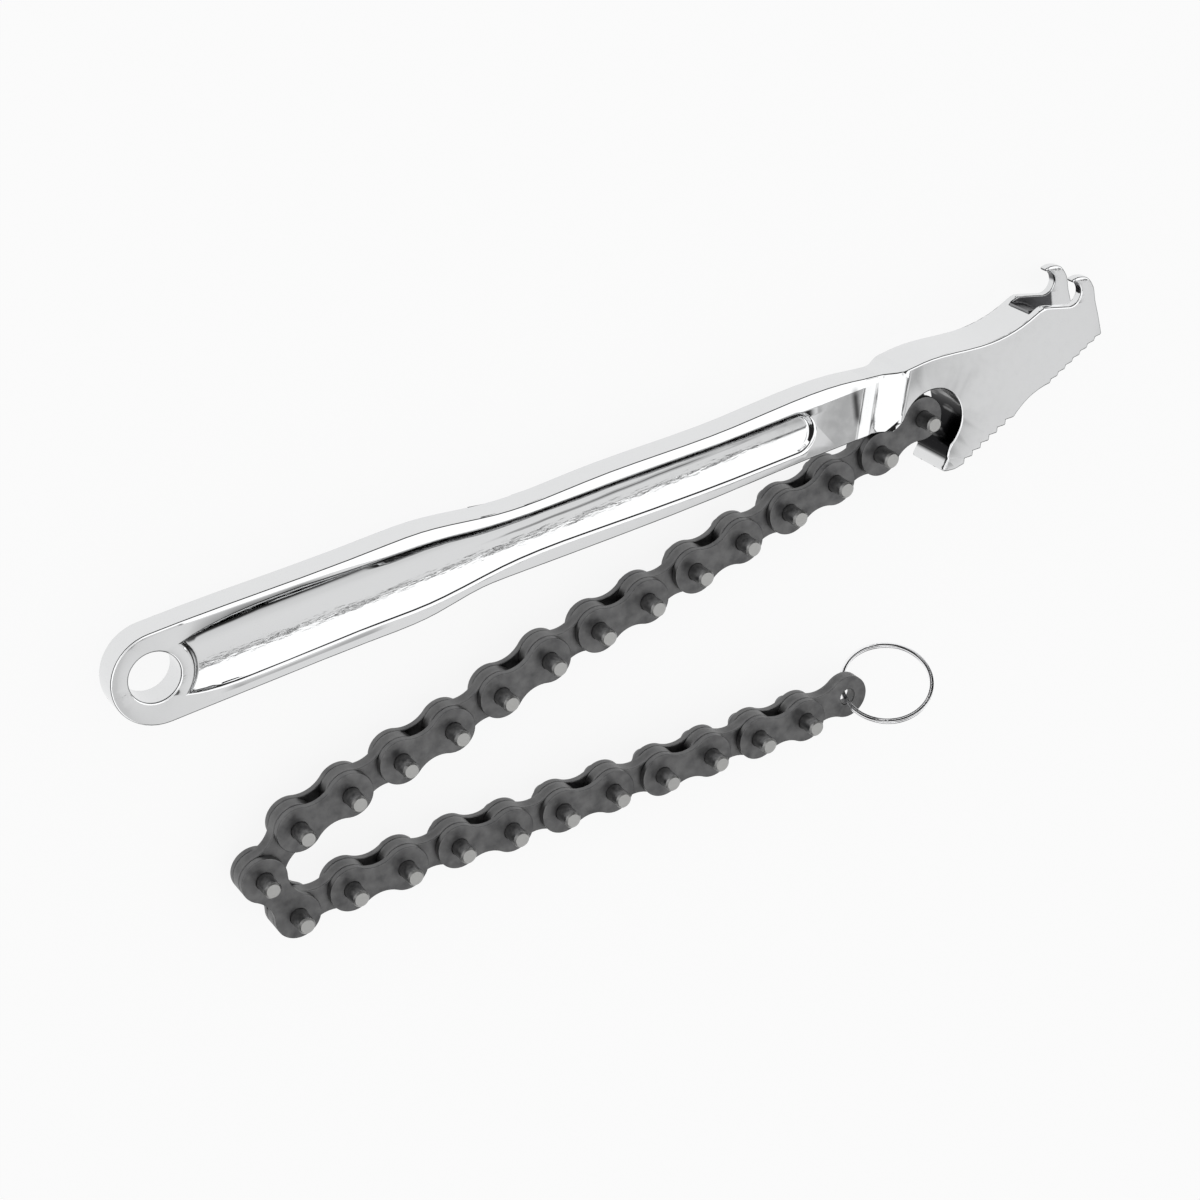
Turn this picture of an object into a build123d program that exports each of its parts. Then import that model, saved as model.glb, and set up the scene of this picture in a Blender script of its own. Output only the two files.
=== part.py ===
from build123d import *
import os
from math import cos, hypot, radians, sin, sqrt

# Chain oil filter wrench, 12 inch class, lying flat. Millimetres.
# The origin is the centre of the hang hole at half the handle's thickness.
# +X runs along the handle to the head, +Z comes out of the near broad face.

# Chain: 5/8 inch pitch, outer links at the odd numbers, pairs of inner plates at the even ones
PITCH = 15.875
PLATE_END_R = 6.4
PLATE_WAIST = 4.1
PLATE_T = 1.9
PLATE_PLAY = 0.1
PIN_R = 2.38
PIN_LENGTH = 19.05
PIN_CHAMFER = 0.5
RUNNING_FIT = 0.05
# Headings of the links as the chain lies, in degrees from +X, from the handle to the ring
REST_HEADINGS = [
    200, 192, 191, 191, 191, 191, 189, 190, 196, 195, 190, 192, 193,
    220, 294, 363, 357, 358, 352, 356, 357, 354, 357, 356, 356, 361,
]

# Handle forging
HANDLE_T = 8.2
HEAD_T = 14.6
NECK_RAMP = 8.0
NECK_SLANT = 17.0
EYE_R = 12.6
EYE_CENTRE = (1.1, -0.7)
HANG_HOLE_R = 6.65

# Centre of the first chain pin in the head, which places the whole head
ANCHOR_X = 227.5
ANCHOR_Y = -13.2

# Grip and shank: points of the two long edges
GRIP_TOP = [(15.0, 11.9), (36.0, 11.4), (63.0, 11.1), (75.0, 10.9)]
GRIP_BOTTOM = [(15.0, -13.3), (58.0, -13.4), (73.0, -13.2)]
SHANK_TOP = [(97.0, 7.7), (125.0, 7.4), (165.0, 6.4)]
SHANK_BOTTOM = [(89.0, -10.9), (97.0, -10.9), (123.0, -11.6), (160.0, -12.0), (190.0, -11.6)]

# Recess in each broad face: its rim line, its depth along the middle, the radius that its floor
# is hollowed to across the handle, and how far its wall leans for each millimetre of depth
RECESS_DEPTH = 2.0
RECESS_FLOOR_R = 38.0
RECESS_FLOOR_Y = -1.4
RECESS_WALL_LEAN = 0.6
RECESS_EYE_GAP = 3.6
RECESS_TOP = [(22.0, 8.3), (62.0, 7.5), (77.0, 6.9), (94.0, 4.9), (125.0, 4.0), (165.0, 2.9)]
RECESS_BOTTOM = [(22.0, -9.6), (59.0, -9.5), (74.0, -9.6), (96.0, -7.4), (123.0, -7.5), (165.0, -8.8)]
RECESS_END_R = 5.9
RECESS_END = (186.5, -2.9)

# Head, measured from the anchor pin
HEAD_TOP = [(-21.5, 19.3), (-10.5, 17.9), (0.5, 18.5), (11.5, 17.6), (22.5, 16.5), (32.0, 17.5), (38.5, 19.6)]
HEAD_CREST = (42.5, 20.3)
HEAD_UNDERSIDE = (-18.5, 1.4)
LOBE = [(-14.6, 1.5), (-11.9, 1.5), (-9.8, 2.6)]

# Hooks on the two cheeks, open away from the filter, and the slot between the cheeks
HOOK_SEAT = (50.9, 21.4)
HOOK_MOUTH_R = 3.4
HOOK_TIP = [(51.6, 25.1), (52.3, 25.7)]
HOOK_CROWN = [(54.9, 25.6), (57.4, 24.3), (58.9, 21.6)]
CHEEK_BACK = [(59.4, 17.0), (60.3, 11.5)]
SLOT_W = 9.0
SLOT_START_X = 38.0
SLOT_STEP = 1.0
SLOT_FLOOR = [(44.0, 17.0), (48.0, 11.9)]
SLOT_EXIT = (66.0, 6.0)

# Toothed edge: fine teeth on the upper pad, coarse teeth on the lower pad, a hollow between
UPPER_PAD = [(61.0, 5.8), (42.0, -2.9)]
UPPER_TEETH = 7
UPPER_TOOTH_DEPTH = 0.8
PAD_HOLLOW = (34.5, -4.6)
LOWER_PAD = [(28.5, -8.8), (10.5, -16.8)]
LOWER_TEETH = 6
LOWER_TOOTH_DEPTH = 1.3
CLAW_TIP = [(6.9, -17.3), (2.9, -15.7), (4.7, -13.2)]

# Round pocket that takes the end of the chain, and the lug inside that carries the first pin
POCKET_R = 10.0
POCKET_CENTRE = (0.8, -0.6)
LUG_R = 5.8
LUG_NECK_W = 7.0
LUG_NECK_ANGLE = 150.0

# Split ring of two flat turns, leaning in the last link's free pin hole. The lift is the height
# of the ring's centre above the middle of the chain.
RING_R = 13.0
RING_WIRE_W = 1.2
RING_WIRE_T = 0.7
RING_TURN_GAP = 0.1
RING_TURNS = 2.0
RING_NORMAL = (-0.15, 0.90, 0.41)
RING_LIFT = 3.8
RING_PLAY = 0.08
RING_OPEN_ANGLE = 150.0


def head_point(point):
    """Turn a point measured from the anchor pin into one measured from the hang hole."""
    return (ANCHOR_X + point[0], ANCHOR_Y + point[1])


def head_points(points):
    return [head_point(point) for point in points]


def on_circle(centre, radius, angle):
    """Point of a circle at an angle in degrees."""
    return (
        centre[0] + radius * cos(radians(angle)),
        centre[1] + radius * sin(radians(angle)),
    )


def tooth_line(start, end, count, depth):
    """Points of saw teeth cut into the line from start to end, steep side last."""
    length = hypot(end[0] - start[0], end[1] - start[1])
    along = ((end[0] - start[0]) / length, (end[1] - start[1]) / length)
    inward = (along[1], -along[0])
    pitch = length / count
    points = []
    for tooth in range(count):
        crest = tooth * pitch
        root = crest + 0.75 * pitch
        points.append((start[0] + along[0] * crest, start[1] + along[1] * crest))
        points.append((
            start[0] + along[0] * root + inward[0] * depth,
            start[1] + along[1] * root + inward[1] * depth,
        ))
    points.append(end)
    return points


def handle_outline():
    """Plan outline of the forging, from the eye along the top to the hooks, teeth and back."""
    eye_top = (EYE_CENTRE[0], EYE_CENTRE[1] + EYE_R)
    eye_left = (EYE_CENTRE[0] - EYE_R, EYE_CENTRE[1])
    eye_bottom = (EYE_CENTRE[0], EYE_CENTRE[1] - EYE_R)
    crest = head_point(HEAD_CREST)
    seat = head_point(HOOK_SEAT)
    mouth_floor = on_circle(seat, HOOK_MOUTH_R, -106)
    mouth_back = on_circle(seat, HOOK_MOUTH_R, -20)
    mouth_lip = on_circle(seat, HOOK_MOUTH_R, 70)
    hook_tip = head_points(HOOK_TIP)
    crown = head_points(HOOK_CROWN)
    cheek = head_points(CHEEK_BACK)
    upper = tooth_line(*head_points(UPPER_PAD), UPPER_TEETH, UPPER_TOOTH_DEPTH)
    lower = tooth_line(*head_points(LOWER_PAD), LOWER_TEETH, LOWER_TOOTH_DEPTH)
    claw = head_points(CLAW_TIP)
    pocket = head_point(POCKET_CENTRE)
    pocket_start = on_circle(pocket, POCKET_R, -58)
    pocket_top = on_circle(pocket, POCKET_R, 45)
    pocket_end = on_circle(pocket, POCKET_R, 153)
    lobe = head_points(LOBE)
    underside = head_point(HEAD_UNDERSIDE)
    top_edge = [eye_top] + GRIP_TOP + SHANK_TOP + head_points(HEAD_TOP) + [crest]
    bottom_edge = [underside] + SHANK_BOTTOM[::-1] + GRIP_BOTTOM[::-1] + [eye_bottom]
    with BuildLine() as line:
        Spline(*top_edge, tangents=[(1, 0), (1, -0.29)])
        Line(crest, mouth_floor)
        ThreePointArc(mouth_floor, mouth_back, mouth_lip)
        ThreePointArc(mouth_lip, *hook_tip)
        Spline(hook_tip[1], *crown, cheek[0], tangents=[(1, 0.3), (0.05, -1)])
        Polyline(cheek[0], cheek[1], *upper)
        ThreePointArc(upper[-1], head_point(PAD_HOLLOW), lower[0])
        Polyline(*lower, claw[0])
        Spline(claw[0], claw[1], claw[2], pocket_start, tangents=[(-1, 0.1), (0.6, 1)])
        ThreePointArc(pocket_start, pocket_top, pocket_end)
        Spline(pocket_end, lobe[2], lobe[1], lobe[0], underside, tangents=[(-0.45, -1), (-1, 0)])
        Spline(*bottom_edge, tangents=[(-1, 0), (-1, 0)])
        ThreePointArc(eye_bottom, eye_left, eye_top)
    return make_face(line.line)


def thickness_profile():
    """Side profile: thin at eye and shank, ramped up at the neck to the thick head."""
    neck_x = head_point(LOBE[0])[0]
    start_x = -0.5 * NECK_RAMP
    end_x = 0.5 * NECK_RAMP
    reach_left = neck_x + 2 * EYE_R
    reach_right = 2 * CHEEK_BACK[1][0]
    thin = HANDLE_T / 2
    thick = HEAD_T / 2
    with BuildLine() as line:
        Polyline((start_x, -thin), (-reach_left, -thin), (-reach_left, thin), (start_x, thin))
        Spline((start_x, thin), (end_x, thick), tangents=[(1, 0), (1, 0)])
        Polyline((end_x, thick), (reach_right, thick), (reach_right, -thick), (end_x, -thick))
        Spline((end_x, -thick), (start_x, -thin), tangents=[(-1, 0), (-1, 0)])
    profile = Plane.XZ * make_face(line.line)
    body = extrude(profile, amount=6 * EYE_R, both=True)
    return Pos(neck_x, ANCHOR_Y, 0) * Rot(0, 0, -NECK_SLANT) * body


def recess_outline(inset):
    """Rim of the recess, drawn in by the inset. Its left end is concentric with the hang hole."""
    eye_gap = HANG_HOLE_R + RECESS_EYE_GAP + inset
    top = [(x, y - inset) for x, y in RECESS_TOP]
    bottom = [(x, y + inset) for x, y in RECESS_BOTTOM]
    end_r = RECESS_END_R - inset
    end_top = (RECESS_END[0], RECESS_END[1] + end_r)
    end_tip = (RECESS_END[0] + end_r, RECESS_END[1])
    end_bottom = (RECESS_END[0], RECESS_END[1] - end_r)
    start_top = on_circle((0, 0), eye_gap, 36)
    start_mid = on_circle((0, 0), eye_gap, -5)
    start_bottom = on_circle((0, 0), eye_gap, -46)
    with BuildLine() as line:
        Spline(start_top, *top, end_top, tangents=[(1, 0.3), (1, 0)])
        ThreePointArc(end_top, end_tip, end_bottom)
        Spline(end_bottom, *bottom[::-1], start_bottom, tangents=[(-1, 0), (-1, 0.3)])
        ThreePointArc(start_bottom, start_mid, start_top)
    return make_face(line.line)


def recess_cutter():
    """Tray with leaning walls, sunk in the near broad face, with a floor hollowed across."""
    tray_depth = 1.2 * RECESS_DEPTH
    rim = Pos(0, 0, HANDLE_T / 2) * recess_outline(0)
    tray_floor = Pos(0, 0, HANDLE_T / 2 - tray_depth) * recess_outline(tray_depth * RECESS_WALL_LEAN)
    hollow = Rot(0, 90, 0) * Cylinder(RECESS_FLOOR_R, 2 * ANCHOR_X)
    axis_z = HANDLE_T / 2 - RECESS_DEPTH + RECESS_FLOOR_R
    return loft([rim, tray_floor], ruled=True) & Pos(0, RECESS_FLOOR_Y, axis_z) * hollow


def slot_cutter():
    """Space between the cheeks, open upwards and at the end of the head."""
    start_top = head_point((SLOT_START_X, HOOK_SEAT[1] + PLATE_END_R))
    start = head_point((SLOT_START_X, HEAD_CREST[1] - SLOT_STEP))
    floor = head_points(SLOT_FLOOR)
    slot_exit = head_point(SLOT_EXIT)
    with BuildLine() as line:
        Line(start_top, start)
        ThreePointArc(start, floor[0], floor[1])
        Polyline(floor[1], slot_exit, (slot_exit[0], start_top[1]), start_top)
    return extrude(make_face(line.line), amount=SLOT_W / 2, both=True)


def lug():
    """Flat eye in the middle of the pocket, joined to its wall, that the first link straddles."""
    half_t = (2 * PLATE_T) / 2
    anchor = (ANCHOR_X, ANCHOR_Y)
    neck_length = POCKET_R + POCKET_CENTRE[0]
    eye = Pos(*anchor) * Circle(LUG_R)
    neck = Pos(*anchor) * Rot(0, 0, LUG_NECK_ANGLE) * Pos(neck_length / 2, 0) * Rectangle(neck_length, LUG_NECK_W)
    blank = extrude(eye + neck, amount=half_t, both=True)
    bore = Pos(*anchor) * Cylinder(PIN_R + RUNNING_FIT, 2 * PLATE_T)
    return blank - bore


def handle():
    """Forged handle with eye, recessed grip and shank, and the slotted, toothed head."""
    blank = extrude(handle_outline(), amount=HEAD_T / 2, both=True)
    forging = blank & thickness_profile()
    near = recess_cutter()
    far = mirror(near, about=Plane.XY)
    hole = Cylinder(HANG_HOLE_R, HANDLE_T)
    forging = forging - near - far - hole - slot_cutter()
    return forging + lug()


def plate_outline():
    """Figure-of-eight link plate: two round ends and two hollow waists, tangent to each other."""
    half = PITCH / 2
    waist_r = (half**2 + PLATE_WAIST**2 - PLATE_END_R**2) / (2 * (PLATE_END_R - PLATE_WAIST))
    waist_y = PLATE_WAIST + waist_r
    touch_x = half - PLATE_END_R * half / (PLATE_END_R + waist_r)
    touch_y = PLATE_END_R * waist_y / (PLATE_END_R + waist_r)
    with BuildLine() as line:
        ThreePointArc((touch_x, touch_y), (half + PLATE_END_R, 0), (touch_x, -touch_y))
        ThreePointArc((touch_x, -touch_y), (0, -PLATE_WAIST), (-touch_x, -touch_y))
        ThreePointArc((-touch_x, -touch_y), (-half - PLATE_END_R, 0), (-touch_x, touch_y))
        ThreePointArc((-touch_x, touch_y), (0, PLATE_WAIST), (touch_x, touch_y))
    return make_face(line.line)


def plate(hole_r, low_z):
    """One link plate between its two pin centres, with its lower face at low_z."""
    holes = [Pos(side * PITCH / 2, 0) * Circle(hole_r) for side in (-1, 1)]
    return Pos(0, 0, low_z) * extrude(plate_outline() - holes, amount=PLATE_T)


def pin():
    """Chain pin that stands out past both outer plates, with both ends bevelled."""
    body = Cylinder(PIN_R, PIN_LENGTH)
    ends = body.edges().filter_by(GeomType.CIRCLE)
    return chamfer(ends, PIN_CHAMFER)


def outer_link():
    """Solids of the near plate, the far plate and two pressed pins, about the link's middle."""
    outside_z = PLATE_T + PLATE_PLAY
    near = plate(PIN_R, outside_z)
    far = plate(PIN_R, -outside_z - PLATE_T)
    pins = [Pos(side * PITCH / 2, 0) * pin() for side in (-1, 1)]
    return {"near_plate": [near], "far_plate": [far], "pins": pins}


def inner_link():
    """Solids of two plates face to face, free to turn on the pins of the outer links."""
    upper = plate(PIN_R + RUNNING_FIT, 0)
    lower = plate(PIN_R + RUNNING_FIT, -PLATE_T)
    return {"plates": [upper, lower]}


def pin_centres():
    """Centres of all pin holes along the chain, from the anchor pin to the free hole."""
    centres = [(ANCHOR_X, ANCHOR_Y)]
    for heading in REST_HEADINGS:
        centres.append(on_circle(centres[-1], PITCH, heading))
    return centres


def split_ring(hole):
    """Two flat turns of wire on one helix, leaning in the free hole of the last link."""
    normal = Vector(*RING_NORMAL).normalized()
    level = normal.cross(Vector(0, 0, 1)).normalized()
    upward = level.cross(normal)
    rise = RING_LIFT / (RING_R * upward.Z)
    to_centre = level * sqrt(1 - rise**2) + upward * rise
    centre = Vector(hole[0], hole[1], 0) + to_centre * (RING_R - RING_PLAY)
    turn_pitch = RING_WIRE_T + RING_TURN_GAP
    open_end = to_centre.rotate(Axis((0, 0, 0), tuple(normal)), RING_OPEN_ANGLE)
    path = Helix(turn_pitch, turn_pitch * RING_TURNS, RING_R)
    section = Plane(origin=path @ 0, x_dir=(1, 0, 0), z_dir=path % 0) * Rectangle(RING_WIRE_W, RING_WIRE_T)
    coil = sweep(section, path=path, is_frenet=True)
    ring_plane = Plane(origin=centre, x_dir=open_end, z_dir=normal)
    return ring_plane * Pos(0, 0, -turn_pitch * RING_TURNS / 2) * coil


def save(solids, name):
    """Write one node: a single solid, or several separate solids as a group."""
    shape = solids[0] if len(solids) == 1 else Compound(children=solids)
    export_step(shape, f"parts/{name}.step")


def main():
    os.makedirs("parts", exist_ok=True)
    save([handle()], "handle")
    centres = pin_centres()
    outer = outer_link()
    inner = inner_link()
    for index, heading in enumerate(REST_HEADINGS):
        start = centres[index]
        end = centres[index + 1]
        middle = Pos((start[0] + end[0]) / 2, (start[1] + end[1]) / 2) * Rot(0, 0, heading)
        pieces = outer if index % 2 == 0 else inner
        for piece, solids in pieces.items():
            save([middle * solid for solid in solids], f"link_{index + 1:02d}_{piece}")
    save([split_ring(centres[-1])], "split_ring")


main()
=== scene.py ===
from math import radians

import bpy
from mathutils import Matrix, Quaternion, Vector


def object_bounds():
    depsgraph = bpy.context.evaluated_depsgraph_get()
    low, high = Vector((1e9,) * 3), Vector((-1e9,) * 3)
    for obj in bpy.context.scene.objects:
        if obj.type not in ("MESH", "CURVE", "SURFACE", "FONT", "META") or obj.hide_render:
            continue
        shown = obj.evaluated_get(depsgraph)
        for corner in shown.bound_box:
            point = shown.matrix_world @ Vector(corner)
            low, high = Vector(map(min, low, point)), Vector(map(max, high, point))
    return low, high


# Chain oil filter wrench lying on a pale floor. Metres, in the part's own frame:
# the hang hole at the origin, +X along the handle, +Z out of the near broad face.
# A value for a window is (low, high, softness). A value for a slope is (start, end).

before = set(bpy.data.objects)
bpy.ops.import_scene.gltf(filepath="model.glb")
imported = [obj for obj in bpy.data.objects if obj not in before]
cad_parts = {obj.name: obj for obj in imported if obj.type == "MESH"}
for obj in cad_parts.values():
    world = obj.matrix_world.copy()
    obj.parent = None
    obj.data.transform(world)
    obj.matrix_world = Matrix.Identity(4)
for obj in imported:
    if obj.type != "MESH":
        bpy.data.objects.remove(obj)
cad_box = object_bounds()

# Camera: where it stands, the point of the chain's mid-plane it looks at, and its roll
CAMERA_AT = Vector((-0.1324, 0.3002, 0.5325))
CAMERA_AIM = Vector((0.1225, -0.0301, 0.0))
CAMERA_ROLL = 126.34
CAMERA_LENS = 76.3
CAMERA_SENSOR = 36.0

# Floor, and the world's light on everything that isn't a mirror
FLOOR_SIZE = 6.0
FLOOR_WHITE = 0.92
FLOOR_SELF_LIGHT = 0.88
WORLD_LIGHT = 0.75

# The studio's ceiling, seen only in reflections. A direction is told by how far it goes across (X)
# and away (Y) for each unit of height. Grey lies over the flat faces, then comes a dark strip, and
# a white panel beyond it, with a dimmer patch straight overhead. Low down all round the ceiling
# fades to a dark band. Directions lower than CEILING_LOWEST count as that low.
CEILING_LOWEST = 0.05
GREY_FADE = (-0.8, -2.2)
GREY_FADES_TO = 0.22
STRIP_AWAY = (-0.485, -0.445, 0.012)
STRIP_SHADE = 0.15
PANEL_AWAY = (-0.45, -0.42)
PANEL_ACROSS = (0.0, -0.35)
PANEL_WHITE = 1.35
OVERHEAD_ACROSS = (-0.30, 0.10, 0.08)
OVERHEAD_AWAY = (-0.16, 0.45, 0.10)
OVERHEAD_SHADE = 0.55
LOW_FADE = (0.22, 0.48)
FAR_FADE = (1.1, 0.8)
LEFT_FADE = (-1.6, -1.1)
DARK_BAND = 0.02

# The ceiling's grey from left to right: how far across, and how bright
CEILING_GREYS = [(0.20, 0.68), (0.36, 0.87), (0.60, 0.79), (0.63, 0.47), (0.67, 0.57), (0.735, 0.82),
                 (0.90, 0.79)]

# Painted shade for dark reflections, on the chain pocket's wall, the slot in the head, and the roofs of
# the two hooks' mouths. A wall is told by how little its normal points up or down.
ANCHOR = Vector((0.2275, -0.0132, 0.0))
POCKET_CENTRE = ANCHOR + Vector((0.0008, -0.0022, 0.0))
POCKET_HALF_SIZE = (0.0108, 0.0120)
POCKET_INNER = (0.0062, 0.0055)
SLOT_X = (ANCHOR.x + 0.0379, ANCHOR.x + 0.0530, 0.0003)
SLOT_Y = (ANCHOR.y + 0.0110, ANCHOR.y + 0.0203, 0.0003)
SLOT_INNER = (0.00461, 0.00456)
MOUTH_CENTRE = ANCHOR + Vector((0.0509, 0.0214, 0.0))
MOUTH_HALF_SIZE = (0.0040, 0.0040)
MOUTH_ROOF = (MOUTH_CENTRE.y - 0.0008, MOUTH_CENTRE.y + 0.0004)
WALL_FACING = (0.6, 0.3)
OVAL_EDGE = (1.06, 0.94)

# Lines along the handle's near and far faces: the recess's upper rim, and the line above which
# the upper flange rolls over towards the top side
RIM_LINE = [(0.012, 0.0070), (0.022, 0.0083), (0.040, 0.0085), (0.062, 0.0075), (0.077, 0.0069),
            (0.094, 0.0049), (0.125, 0.0040), (0.165, 0.0029), (0.187, 0.0029)]
ROLL_LINE = [(0.010, 0.0107), (0.030, 0.0101), (0.050, 0.0092), (0.068, 0.0076), (0.077, 0.0069),
             (0.094, 0.0049), (0.125, 0.0040), (0.165, 0.0029), (0.200, 0.0029)]

# Polished forms of the flange and recess that are shading only. Each has its steepness across the
# handle and its reach: ABOVE the flange's line, BELOW the recess's rim, or along X and Y.
FLANGE_STEEPNESS = 0.17
FLANGE_X = (0.012, 0.211, 0.004)
FLANGE_ABOVE = (-0.0002, 0.0003)
BANK_STEEPNESS = -0.24
BANK_X = (0.008, 0.050, 0.012)
BANK_ABOVE = (0.0003, -0.0002)
BANK_BELOW = (0.0024, 0.0012)
SHELF_X = (0.015, 0.062, 0.006)
SHELF_Y = (-0.0112, -0.0098, 0.0003)
UPPER_WALL_STEEPNESS = -0.55
UPPER_WALL_X = (0.062, 0.192, 0.004)
UPPER_WALL_BELOW = (0.0, 0.0020, 0.0003)
CREASE_STEEPNESS = -0.25
CREASE_X = (0.095, 0.165, 0.015)
CREASE_Y = (-0.0004, 0.0004, 0.0004)
RIM_WOBBLE = 0.0003

# The recess's lower wall, told by its normal and its place, and how far it leans
LOWER_WALL_FACING = (0.5, 0.8)
LOWER_WALL_X = (0.015, 0.200, 0.002)
LOWER_WALL_Y = (-0.0045, -0.0055)
LOWER_WALL_INNER = (0.0036, 0.0034)
LOWER_WALL_ACROSS = -0.55
LOWER_WALL_UPWARDS = 0.75

# The neck's ramp: where it starts on the handle's middle line, how it slants across, and the
# reach and steepness of its foot and of its dark corners, measured along the handle from its start
RAMP_START = 0.21275
RAMP_SLANT = 0.306
FOOT_STEEPNESS = -0.45
FOOT_REACH = (-0.0042, 0.0, 0.0006)
CORNER_STEEPNESS = -0.75
CORNER_REACH = (0.0020, 0.0080, 0.0004)
LOWER_CORNER = (0.0154, 0.0160)
UPPER_CORNER = (0.0104, 0.0110)

# A near-black spot on the chrome before the ramp
DULL_SPOT = 0.9
DULL_X = (0.2052, 0.2070, 0.0009)
DULL_Y = (-0.0062, 0.0030, 0.0020)

# Fine streaks along the recess's floor
STREAK_SHARE = 0.16
STREAK_X = (0.185, 0.165)
STREAK_Y = (-0.0045, -0.0010, 0.0012)

# Colours, from polished chrome to the painted shade of its hollows
CHROME = (0.78, 0.785, 0.79)
CHROME_DULL = (0.05, 0.05, 0.05)
# Painted shade and painted bright streaks on the pocket's wall, standing in for dark reflections
POCKET_PAINTED_SHADE = (0.012, 0.012, 0.013)
POCKET_PAINTED_GLINT = (0.22, 0.22, 0.22)
GLINT_FROM_NOISE = (0.58, 0.72)
# Painted shade in the slot and the hooks' roofs
SLOT_PAINTED_SHADE = (0.13, 0.13, 0.135)
WIRE_SILVER = (0.93, 0.93, 0.94)
PLATE_GREY = (0.13, 0.13, 0.13)
PLATE_DARK = (0.105, 0.105, 0.107)
PLATE_RUBBED = (0.20, 0.20, 0.20)
PIN_GREY = (0.2, 0.2, 0.2)
PIN_DARK = (0.16, 0.16, 0.165)
PIN_RUBBED = (0.28, 0.28, 0.28)
PIN_END = (0.46, 0.46, 0.45)
PIN_END_FACING = (0.5, 0.9)

# Roughness, from the smoothest to the dullest place of each surface
CHROME_ROUGHNESS = (0.03, 0.10)
POCKET_ROUGHNESS = 0.15
SLOT_ROUGHNESS = 0.4
PLATE_ROUGHNESS = (0.34, 0.52)
PIN_ROUGHNESS = (0.28, 0.48)
WIRE_ROUGHNESS = (0.05, 0.16)

# Heights of the surfaces' relief
CHROME_RIPPLE = 0.00022
PLATE_GRAIN = 0.00002
PIN_SCRATCH = 0.00003

# Rounding of the metal's edges, and the gap closed where faces meet
HANDLE_EDGE = 0.0006
PLATE_EDGE = 0.00022
WIRE_EDGE = 0.00015
FACE_GAP = 0.000002
EDGE_ANGLE = 30
NORMAL_WEIGHT = 100

# The part of a noise texture's range that its values really fill
NOISE_RANGE = (0.3, 0.7)


def new_material(name):
    """Empty node material, with its nodes, links and output."""
    material = bpy.data.materials.new(name)
    material.use_nodes = True
    nodes = material.node_tree.nodes
    nodes.clear()
    output = nodes.new("ShaderNodeOutputMaterial")
    return material, nodes, material.node_tree.links, output


def metal_shader(nodes, links, output, colour, roughness):
    """Principled metal, joined to the output, with plain values on its sockets."""
    shader = nodes.new("ShaderNodeBsdfPrincipled")
    shader.inputs["Base Color"].default_value = (*colour, 1)
    shader.inputs["Metallic"].default_value = 1.0
    shader.inputs["Roughness"].default_value = roughness
    links.new(shader.outputs["BSDF"], output.inputs["Surface"])
    return shader


def noise(nodes, links, scale, detail, stretch=(1, 1, 1)):
    """Noise in object space. The stretch makes grain along one axis."""
    coordinates = nodes.new("ShaderNodeTexCoord")
    mapping = nodes.new("ShaderNodeMapping")
    mapping.inputs["Scale"].default_value = stretch
    texture = nodes.new("ShaderNodeTexNoise")
    texture.inputs["Scale"].default_value = scale
    texture.inputs["Detail"].default_value = detail
    links.new(coordinates.outputs["Object"], mapping.inputs["Vector"])
    links.new(mapping.outputs["Vector"], texture.inputs["Vector"])
    return texture.outputs["Fac"]


def spread(nodes, links, value, low, high, source=NOISE_RANGE):
    """Map a value evenly from its source range onto the range low to high."""
    node = nodes.new("ShaderNodeMapRange")
    node.inputs["From Min"].default_value = source[0]
    node.inputs["From Max"].default_value = source[1]
    node.inputs["To Min"].default_value = low
    node.inputs["To Max"].default_value = high
    links.new(value, node.inputs["Value"])
    return node.outputs["Result"]


def mixed(nodes, links, factor, first, second):
    """Colour between two others. Each is a socket or a plain colour."""
    node = nodes.new("ShaderNodeMix")
    node.data_type = "RGBA"
    links.new(factor, node.inputs["Factor"])
    for name, colour in (("A", first), ("B", second)):
        if isinstance(colour, tuple):
            node.inputs[name].default_value = (*colour, 1)
        else:
            links.new(colour, node.inputs[name])
    return node.outputs["Result"]


def bump(nodes, links, source, shader, height):
    """Relief of a given height on the shader."""
    node = nodes.new("ShaderNodeBump")
    node.inputs["Strength"].default_value = 1.0
    node.inputs["Distance"].default_value = height
    links.new(source, node.inputs["Height"])
    links.new(node.outputs["Normal"], shader.inputs["Normal"])
    return node


def maths(nodes, links, operation, first, second=0.0):
    """One maths node. Each side is a socket or a plain number."""
    node = nodes.new("ShaderNodeMath")
    node.operation = operation
    for socket, value in zip(node.inputs, (first, second)):
        if isinstance(value, (int, float)):
            socket.default_value = value
        else:
            links.new(value, socket)
    return node.outputs["Value"]


def product(nodes, links, first, *others):
    """All the values multiplied together."""
    for other in others:
        first = maths(nodes, links, "MULTIPLY", first, other)
    return first


def weighted_sum(nodes, links, shares):
    """Sum of masks, each times its own weight."""
    total = 0.0
    for mask, weight in shares:
        total = maths(nodes, links, "ADD", product(nodes, links, mask, weight), total)
    return total


def slope(nodes, links, value, start, end, low=0.0, high=1.0):
    """Smooth step of a value: low at start, high at end, level outside."""
    node = nodes.new("ShaderNodeMapRange")
    node.interpolation_type = "SMOOTHSTEP"
    node.inputs["From Min"].default_value = min(start, end)
    node.inputs["From Max"].default_value = max(start, end)
    node.inputs["To Min"].default_value = low if start < end else high
    node.inputs["To Max"].default_value = high if start < end else low
    links.new(value, node.inputs["Value"])
    return node.outputs["Result"]


def window(nodes, links, value, low, high, soft):
    """One between low and high, zero outside, with soft sides."""
    rise = slope(nodes, links, value, low - soft, low + soft)
    fall = slope(nodes, links, value, high + soft, high - soft)
    return product(nodes, links, rise, fall)


def shaded(nodes, links, mask, shade):
    """One outside the mask, and the shade inside it."""
    return slope(nodes, links, mask, 0.0, 1.0, 1.0, shade)


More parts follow.
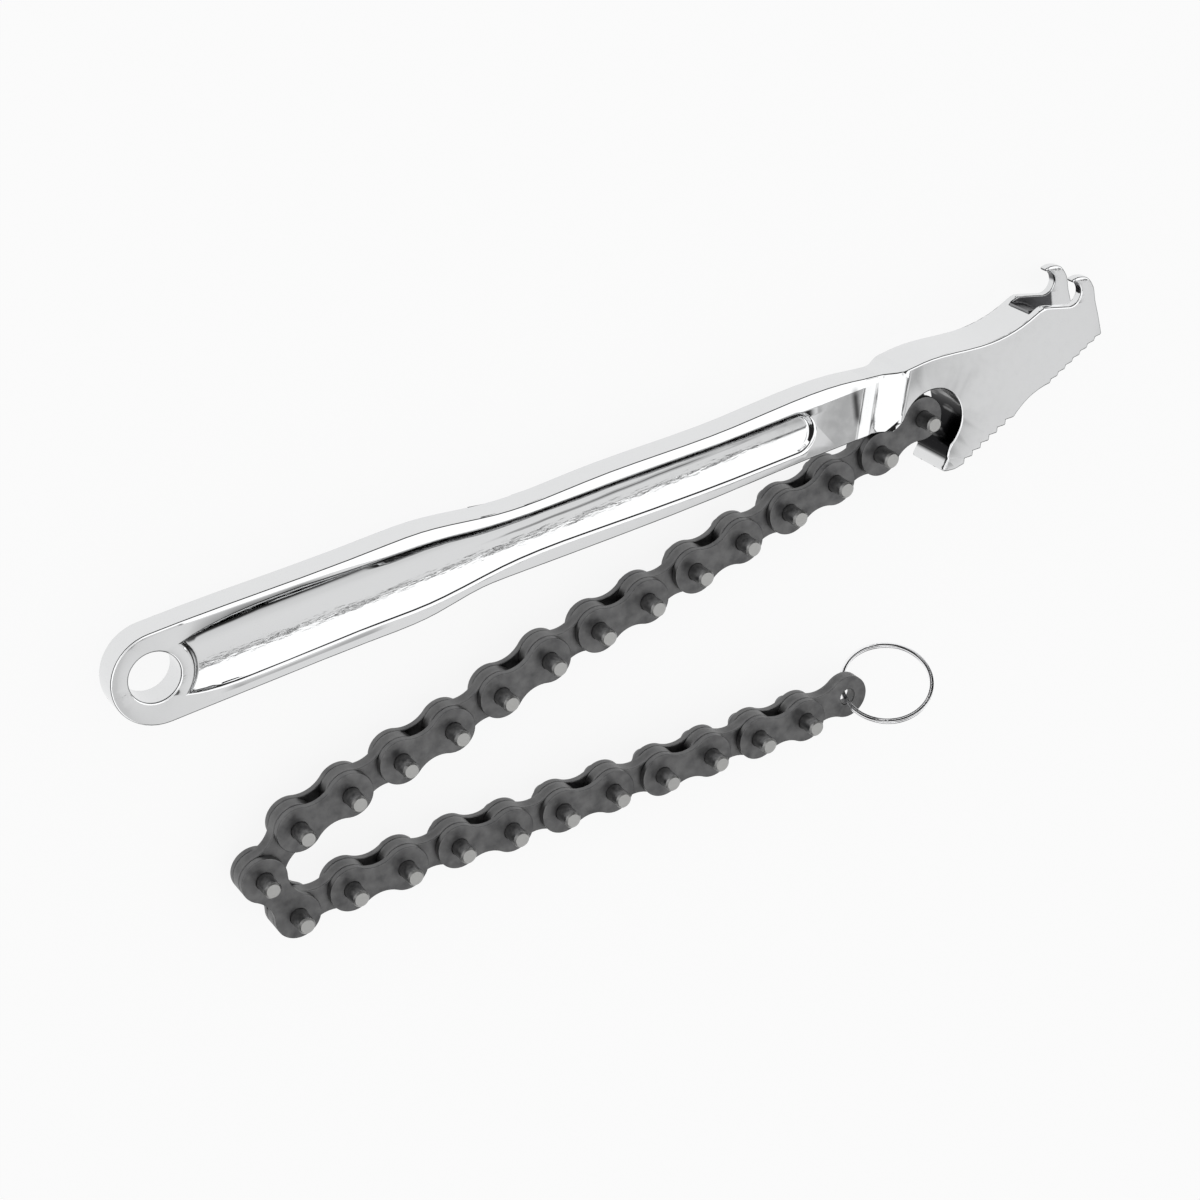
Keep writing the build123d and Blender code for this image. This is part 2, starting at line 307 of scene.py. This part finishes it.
def curve_through(nodes, links, value, points):
    """Smooth curve of a value through a few points, level beyond both ends."""
    places = [place for place, height in points]
    heights = [height for place, height in points]
    low = min(heights)
    high = max(heights)
    along = spread(nodes, links, value, 0.0, 1.0, source=(places[0], places[-1]))
    curve = nodes.new("ShaderNodeFloatCurve")
    line = curve.mapping.curves[0]
    while len(line.points) < len(points):
        line.points.new(0.5, 0.5)
    for knot, (place, height) in zip(line.points, points):
        knot.location = ((place - places[0]) / (places[-1] - places[0]), (height - low) / (high - low))
    curve.mapping.update()
    links.new(along, curve.inputs["Value"])
    return spread(nodes, links, curve.outputs["Value"], low, high, source=(0.0, 1.0))


def object_axes(nodes, links):
    """The three coordinates of the part's frame, in metres."""
    coordinates = nodes.new("ShaderNodeTexCoord")
    split = nodes.new("ShaderNodeSeparateXYZ")
    links.new(coordinates.outputs["Object"], split.inputs["Vector"])
    return split.outputs["X"], split.outputs["Y"], split.outputs["Z"]


def normal_part(nodes, links, kind, axis):
    """One coordinate of the surface's normal: Normal is the shaded one, True Normal the flat one."""
    geometry = nodes.new("ShaderNodeNewGeometry")
    split = nodes.new("ShaderNodeSeparateXYZ")
    links.new(geometry.outputs[kind], split.inputs["Vector"])
    return split.outputs[axis]


def oval(nodes, links, x, y, centre, half_size):
    """One inside an upright oval of the plan, zero outside."""
    across = maths(nodes, links, "DIVIDE", maths(nodes, links, "SUBTRACT", x, centre.x), half_size[0])
    along = maths(nodes, links, "DIVIDE", maths(nodes, links, "SUBTRACT", y, centre.y), half_size[1])
    square = maths(nodes, links, "ADD", product(nodes, links, across, across),
                   product(nodes, links, along, along))
    return slope(nodes, links, square, *OVAL_EDGE)


def painted_dark_places(nodes, links, x, y, z):
    """Masks of the painted shade: the pocket, and the slot with the hooks' roofs."""
    facing = maths(nodes, links, "ABSOLUTE", normal_part(nodes, links, "True Normal", "Z"))
    wall = slope(nodes, links, facing, *WALL_FACING)
    depth = maths(nodes, links, "ABSOLUTE", z)
    inner = maths(nodes, links, "MAXIMUM", wall, slope(nodes, links, depth, *POCKET_INNER))
    pocket = product(nodes, links, oval(nodes, links, x, y, POCKET_CENTRE, POCKET_HALF_SIZE), inner)
    slot = product(nodes, links, window(nodes, links, x, *SLOT_X), window(nodes, links, y, *SLOT_Y),
                   slope(nodes, links, depth, *SLOT_INNER))
    mouth = product(nodes, links, oval(nodes, links, x, y, MOUTH_CENTRE, MOUTH_HALF_SIZE), wall,
                    slope(nodes, links, y, *MOUTH_ROOF))
    return pocket, maths(nodes, links, "MAXIMUM", slot, mouth)


def lean_across(nodes, links, x, y, wobble):
    """Slope across the handle: the upper flange rolls over, and the recess has banks and a crease."""
    rim = curve_through(nodes, links, x, RIM_LINE)
    below = maths(nodes, links, "SUBTRACT", maths(nodes, links, "SUBTRACT", rim, y), wobble)
    above = maths(nodes, links, "SUBTRACT", y, curve_through(nodes, links, x, ROLL_LINE))
    wavy = maths(nodes, links, "ADD", y, wobble)
    flange = product(nodes, links, slope(nodes, links, above, *FLANGE_ABOVE),
                     window(nodes, links, x, *FLANGE_X))
    bank = product(nodes, links, slope(nodes, links, above, *BANK_ABOVE), window(nodes, links, x, *BANK_X),
                   slope(nodes, links, below, *BANK_BELOW))
    shelf = product(nodes, links, window(nodes, links, y, *SHELF_Y), window(nodes, links, x, *SHELF_X))
    wall = product(nodes, links, window(nodes, links, below, *UPPER_WALL_BELOW),
                   window(nodes, links, x, *UPPER_WALL_X))
    crease = product(nodes, links, window(nodes, links, wavy, *CREASE_Y),
                     window(nodes, links, x, *CREASE_X))
    bank = maths(nodes, links, "MAXIMUM", bank, shelf)
    return weighted_sum(nodes, links, ((flange, FLANGE_STEEPNESS), (bank, BANK_STEEPNESS),
                                       (wall, UPPER_WALL_STEEPNESS), (crease, CREASE_STEEPNESS)))


def lean_along(nodes, links, x, y):
    """Slope along the handle, at the foot of the neck's ramp and in its two dark corners."""
    slanted = maths(nodes, links, "SUBTRACT", x, product(nodes, links, y, RAMP_SLANT))
    reach = maths(nodes, links, "SUBTRACT", slanted, RAMP_START)
    foot = window(nodes, links, reach, *FOOT_REACH)
    lower = slope(nodes, links, maths(nodes, links, "SUBTRACT", reach, y), *LOWER_CORNER)
    upper = slope(nodes, links, maths(nodes, links, "ADD", reach, y), *UPPER_CORNER)
    corner = product(nodes, links, maths(nodes, links, "MAXIMUM", lower, upper),
                     window(nodes, links, reach, *CORNER_REACH))
    return weighted_sum(nodes, links, ((foot, FOOT_STEEPNESS), (corner, CORNER_STEEPNESS)))


def lower_wall(nodes, links, x, y, z):
    """Mask of the recess's lower wall, on either face."""
    facing = normal_part(nodes, links, "Normal", "Y")
    depth = maths(nodes, links, "ABSOLUTE", z)
    return product(nodes, links, slope(nodes, links, facing, *LOWER_WALL_FACING),
                   slope(nodes, links, y, *LOWER_WALL_Y), window(nodes, links, x, *LOWER_WALL_X),
                   slope(nodes, links, depth, *LOWER_WALL_INNER))


def rolled_normal(nodes, links, x, y, z, wobble):
    """Normal of the polished forging: the surface's own, leaned over where polishing rolled it."""
    wall = lower_wall(nodes, links, x, y, z)
    across = maths(nodes, links, "ADD", lean_across(nodes, links, x, y, wobble),
                   product(nodes, links, wall, LOWER_WALL_ACROSS))
    upwards = product(nodes, links, wall, LOWER_WALL_UPWARDS, maths(nodes, links, "SIGN", z))
    lean = nodes.new("ShaderNodeCombineXYZ")
    links.new(lean_along(nodes, links, x, y), lean.inputs["X"])
    links.new(across, lean.inputs["Y"])
    links.new(upwards, lean.inputs["Z"])
    geometry = nodes.new("ShaderNodeNewGeometry")
    total = nodes.new("ShaderNodeVectorMath")
    total.operation = "ADD"
    links.new(geometry.outputs["Normal"], total.inputs[0])
    links.new(lean.outputs["Vector"], total.inputs[1])
    unit = nodes.new("ShaderNodeVectorMath")
    unit.operation = "NORMALIZE"
    links.new(total.outputs["Vector"], unit.inputs[0])
    return unit.outputs["Vector"]


def chrome_colour(nodes, links, x, y, pocket, slot):
    """Chrome with a near-black spot before the ramp, painted shade with painted bright streaks in the
    pocket, and painted shade in the slot.
    """
    # Painted shade in the pocket, with painted bright streaks from noise
    glint_noise = noise(nodes, links, scale=350, detail=2, stretch=(1, 1, 0.3))
    painted_glint = slope(nodes, links, glint_noise, *GLINT_FROM_NOISE)
    painted_dark_and_glint = mixed(nodes, links, painted_glint, POCKET_PAINTED_SHADE, POCKET_PAINTED_GLINT)
    spot = product(nodes, links, window(nodes, links, x, *DULL_X), window(nodes, links, y, *DULL_Y),
                   DULL_SPOT)
    chrome = mixed(nodes, links, spot, CHROME, CHROME_DULL)
    return mixed(nodes, links, slot, mixed(nodes, links, pocket, chrome, painted_dark_and_glint), SLOT_PAINTED_SHADE)


def chrome_forging():
    """Polished chrome plate over a forging, rippled along the grip, rougher and with painted shade in its
    hollows.
    """
    material, nodes, links, output = new_material("chrome_forging")
    shader = metal_shader(nodes, links, output, CHROME, roughness=0.06)
    x, y, z = object_axes(nodes, links)
    pocket, slot = painted_dark_places(nodes, links, x, y, z)
    links.new(chrome_colour(nodes, links, x, y, pocket, slot), shader.inputs["Base Color"])
    haze = noise(nodes, links, scale=400, detail=3)
    plated = spread(nodes, links, haze, *CHROME_ROUGHNESS)
    hidden = maths(nodes, links, "MAXIMUM", product(nodes, links, pocket, POCKET_ROUGHNESS),
                   product(nodes, links, slot, SLOT_ROUGHNESS))
    links.new(maths(nodes, links, "MAXIMUM", plated, hidden), shader.inputs["Roughness"])
    ripple = noise(nodes, links, scale=45, detail=2, stretch=(0.35, 1, 1))
    streaks = noise(nodes, links, scale=900, detail=3, stretch=(0.25, 1, 1))
    rough = product(nodes, links, streaks, window(nodes, links, y, *STREAK_Y),
                    slope(nodes, links, x, *STREAK_X), STREAK_SHARE)
    height = maths(nodes, links, "ADD", ripple, rough)
    surface = bump(nodes, links, height, shader, CHROME_RIPPLE)
    jitter = noise(nodes, links, scale=160, detail=3, stretch=(0.3, 1, 1))
    wobble = spread(nodes, links, jitter, -RIM_WOBBLE, RIM_WOBBLE)
    links.new(rolled_normal(nodes, links, x, y, z, wobble), surface.inputs["Normal"])
    return material


def chain_plate_steel():
    """Dark heat-treated plate with fine stamped grain and slightly rubbed faces."""
    material, nodes, links, output = new_material("chain_plate_steel")
    shader = metal_shader(nodes, links, output, PLATE_GREY, roughness=0.42)
    mottle = noise(nodes, links, scale=260, detail=4)
    grain = noise(nodes, links, scale=1800, detail=2)
    rubbed = spread(nodes, links, mottle, 0, 1)
    links.new(mixed(nodes, links, rubbed, PLATE_DARK, PLATE_RUBBED), shader.inputs["Base Color"])
    links.new(spread(nodes, links, mottle, *PLATE_ROUGHNESS), shader.inputs["Roughness"])
    bump(nodes, links, grain, shader, PLATE_GRAIN)
    return material


def pin_steel():
    """Dark pin whose cut ends are bare, told apart by how far the surface faces up or down."""
    material, nodes, links, output = new_material("pin_steel")
    shader = metal_shader(nodes, links, output, PIN_GREY, roughness=0.35)
    facing = maths(nodes, links, "ABSOLUTE", normal_part(nodes, links, "Normal", "Z"))
    cut_end = spread(nodes, links, facing, 0, 1, source=PIN_END_FACING)
    scratch = noise(nodes, links, scale=900, detail=3)
    side = mixed(nodes, links, spread(nodes, links, scratch, 0, 1), PIN_DARK, PIN_RUBBED)
    links.new(mixed(nodes, links, cut_end, side, PIN_END), shader.inputs["Base Color"])
    links.new(spread(nodes, links, scratch, *PIN_ROUGHNESS), shader.inputs["Roughness"])
    bump(nodes, links, scratch, shader, PIN_SCRATCH)
    return material


def ring_wire():
    """Bright nickel plated wire, a little hazy along its length."""
    material, nodes, links, output = new_material("ring_wire")
    shader = metal_shader(nodes, links, output, WIRE_SILVER, roughness=0.1)
    haze = noise(nodes, links, scale=700, detail=3)
    links.new(spread(nodes, links, haze, *WIRE_ROUGHNESS), shader.inputs["Roughness"])
    return material


def floor_material():
    """White floor that keeps the shadow, partly lit by itself for eye, gloss and glass rays."""
    material, nodes, links, output = new_material("floor")
    diffuse = nodes.new("ShaderNodeBsdfDiffuse")
    diffuse.inputs["Color"].default_value = (FLOOR_WHITE, FLOOR_WHITE, FLOOR_WHITE, 1)
    glow = nodes.new("ShaderNodeEmission")
    glow.inputs["Strength"].default_value = 1.0
    path = nodes.new("ShaderNodeLightPath")
    seen = maths(nodes, links, "MAXIMUM", path.outputs["Is Camera Ray"], path.outputs["Is Glossy Ray"])
    seen = maths(nodes, links, "MAXIMUM", seen, path.outputs["Is Transmission Ray"])
    mix = nodes.new("ShaderNodeMixShader")
    links.new(product(nodes, links, seen, FLOOR_SELF_LIGHT), mix.inputs["Fac"])
    links.new(diffuse.outputs["BSDF"], mix.inputs[1])
    links.new(glow.outputs["Emission"], mix.inputs[2])
    links.new(mix.outputs["Shader"], output.inputs["Surface"])
    return material


def make_camera():
    """Camera at the photo's viewing angle."""
    data = bpy.data.cameras.new("camera")
    data.lens = CAMERA_LENS
    data.sensor_width = CAMERA_SENSOR
    data.sensor_fit = "HORIZONTAL"
    camera = bpy.data.objects.new("camera", data)
    look = (CAMERA_AIM - CAMERA_AT).to_track_quat("-Z", "Y")
    camera.rotation_mode = "QUATERNION"
    camera.rotation_quaternion = look @ Quaternion((0, 0, 1), radians(CAMERA_ROLL))
    camera.location = CAMERA_AT
    bpy.context.scene.collection.objects.link(camera)
    bpy.context.scene.camera = camera


def make_floor():
    """Square floor just under the part."""
    half = FLOOR_SIZE / 2
    corners = [(-half, -half, 0), (half, -half, 0), (half, half, 0), (-half, half, 0)]
    mesh = bpy.data.meshes.new("floor")
    mesh.from_pydata(corners, [], [(0, 1, 2, 3)])
    mesh.materials.append(floor_material())
    floor = bpy.data.objects.new("floor", mesh)
    floor.location = (CAMERA_AIM.x, CAMERA_AIM.y, cad_box[0][2])
    bpy.context.scene.collection.objects.link(floor)


def ceiling(nodes, links):
    """Brightness of the studio by direction, laid out as on a flat ceiling over the part."""
    coordinates = nodes.new("ShaderNodeTexCoord")
    split = nodes.new("ShaderNodeSeparateXYZ")
    links.new(coordinates.outputs["Generated"], split.inputs["Vector"])
    up = maths(nodes, links, "MAXIMUM", split.outputs["Z"], CEILING_LOWEST)
    across = maths(nodes, links, "DIVIDE", split.outputs["X"], up)
    away = maths(nodes, links, "DIVIDE", split.outputs["Y"], up)
    strip = window(nodes, links, away, *STRIP_AWAY)
    grey = product(nodes, links, curve_through(nodes, links, across, CEILING_GREYS),
                   slope(nodes, links, away, *GREY_FADE, 1.0, GREY_FADES_TO),
                   shaded(nodes, links, strip, STRIP_SHADE))
    overhead = product(nodes, links, window(nodes, links, across, *OVERHEAD_ACROSS),
                       window(nodes, links, away, *OVERHEAD_AWAY))
    panel = maths(nodes, links, "MAXIMUM", slope(nodes, links, away, *PANEL_AWAY),
                  slope(nodes, links, across, *PANEL_ACROSS))
    outside = maths(nodes, links, "SUBTRACT", 1.0, panel)
    white = product(nodes, links, panel, shaded(nodes, links, overhead, OVERHEAD_SHADE), PANEL_WHITE)
    level = maths(nodes, links, "ADD", white, product(nodes, links, outside, grey))
    level = product(nodes, links, level, slope(nodes, links, split.outputs["Z"], *LOW_FADE),
                    slope(nodes, links, away, *FAR_FADE), slope(nodes, links, across, *LEFT_FADE))
    return maths(nodes, links, "MAXIMUM", level, DARK_BAND)


def make_world():
    """Plain white light, a white backdrop for the camera, and the ceiling in reflections."""
    world = bpy.data.worlds.new("studio")
    world.use_nodes = True
    nodes = world.node_tree.nodes
    links = world.node_tree.links
    nodes.clear()
    output = nodes.new("ShaderNodeOutputWorld")
    background = nodes.new("ShaderNodeBackground")
    path = nodes.new("ShaderNodeLightPath")
    glossy = path.outputs["Is Glossy Ray"]
    seen = maths(nodes, links, "MAXIMUM", path.outputs["Is Camera Ray"],
                 path.outputs["Is Transmission Ray"])
    strength = maths(nodes, links, "MAXIMUM", seen, WORLD_LIGHT)
    plain = product(nodes, links, strength, maths(nodes, links, "SUBTRACT", 1.0, glossy))
    mirrored = product(nodes, links, ceiling(nodes, links), glossy)
    links.new(maths(nodes, links, "ADD", plain, mirrored), background.inputs["Strength"])
    background.inputs["Color"].default_value = (1, 1, 1, 1)
    links.new(background.outputs["Background"], output.inputs["Surface"])
    bpy.context.scene.world = world


def round_edges(piece, width):
    """Narrow rounding on the sharp edges of a node, kept in modifiers."""
    seam = piece.modifiers.new("joined_faces", "WELD")
    seam.merge_threshold = FACE_GAP
    bevel = piece.modifiers.new("edge_rounding", "BEVEL")
    bevel.width = width
    bevel.segments = 3
    bevel.limit_method = "ANGLE"
    bevel.angle_limit = radians(EDGE_ANGLE)
    bevel.use_clamp_overlap = False
    bevel.loop_slide = False
    shade = piece.modifiers.new("face_normals", "WEIGHTED_NORMAL")
    shade.weight = NORMAL_WEIGHT


def dress(node, material, edge):
    """Material and rounded edges for one node. An edge of 0 leaves its edges as they are."""
    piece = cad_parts[node]
    piece.data.materials.clear()
    piece.data.materials.append(material)
    if edge:
        round_edges(piece, edge)


def dress_all():
    """Looks of all the nodes."""
    chrome = chrome_forging()
    plate = chain_plate_steel()
    pin = pin_steel()
    wire = ring_wire()
    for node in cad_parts:
        if node == "handle":
            dress(node, chrome, HANDLE_EDGE)
        elif node == "split_ring":
            dress(node, wire, WIRE_EDGE)
        elif node.endswith("pins"):
            dress(node, pin, 0)
        else:
            dress(node, plate, PLATE_EDGE)


def main():
    bpy.context.scene.view_settings.view_transform = "Standard"
    make_camera()
    make_floor()
    make_world()
    dress_all()


main()
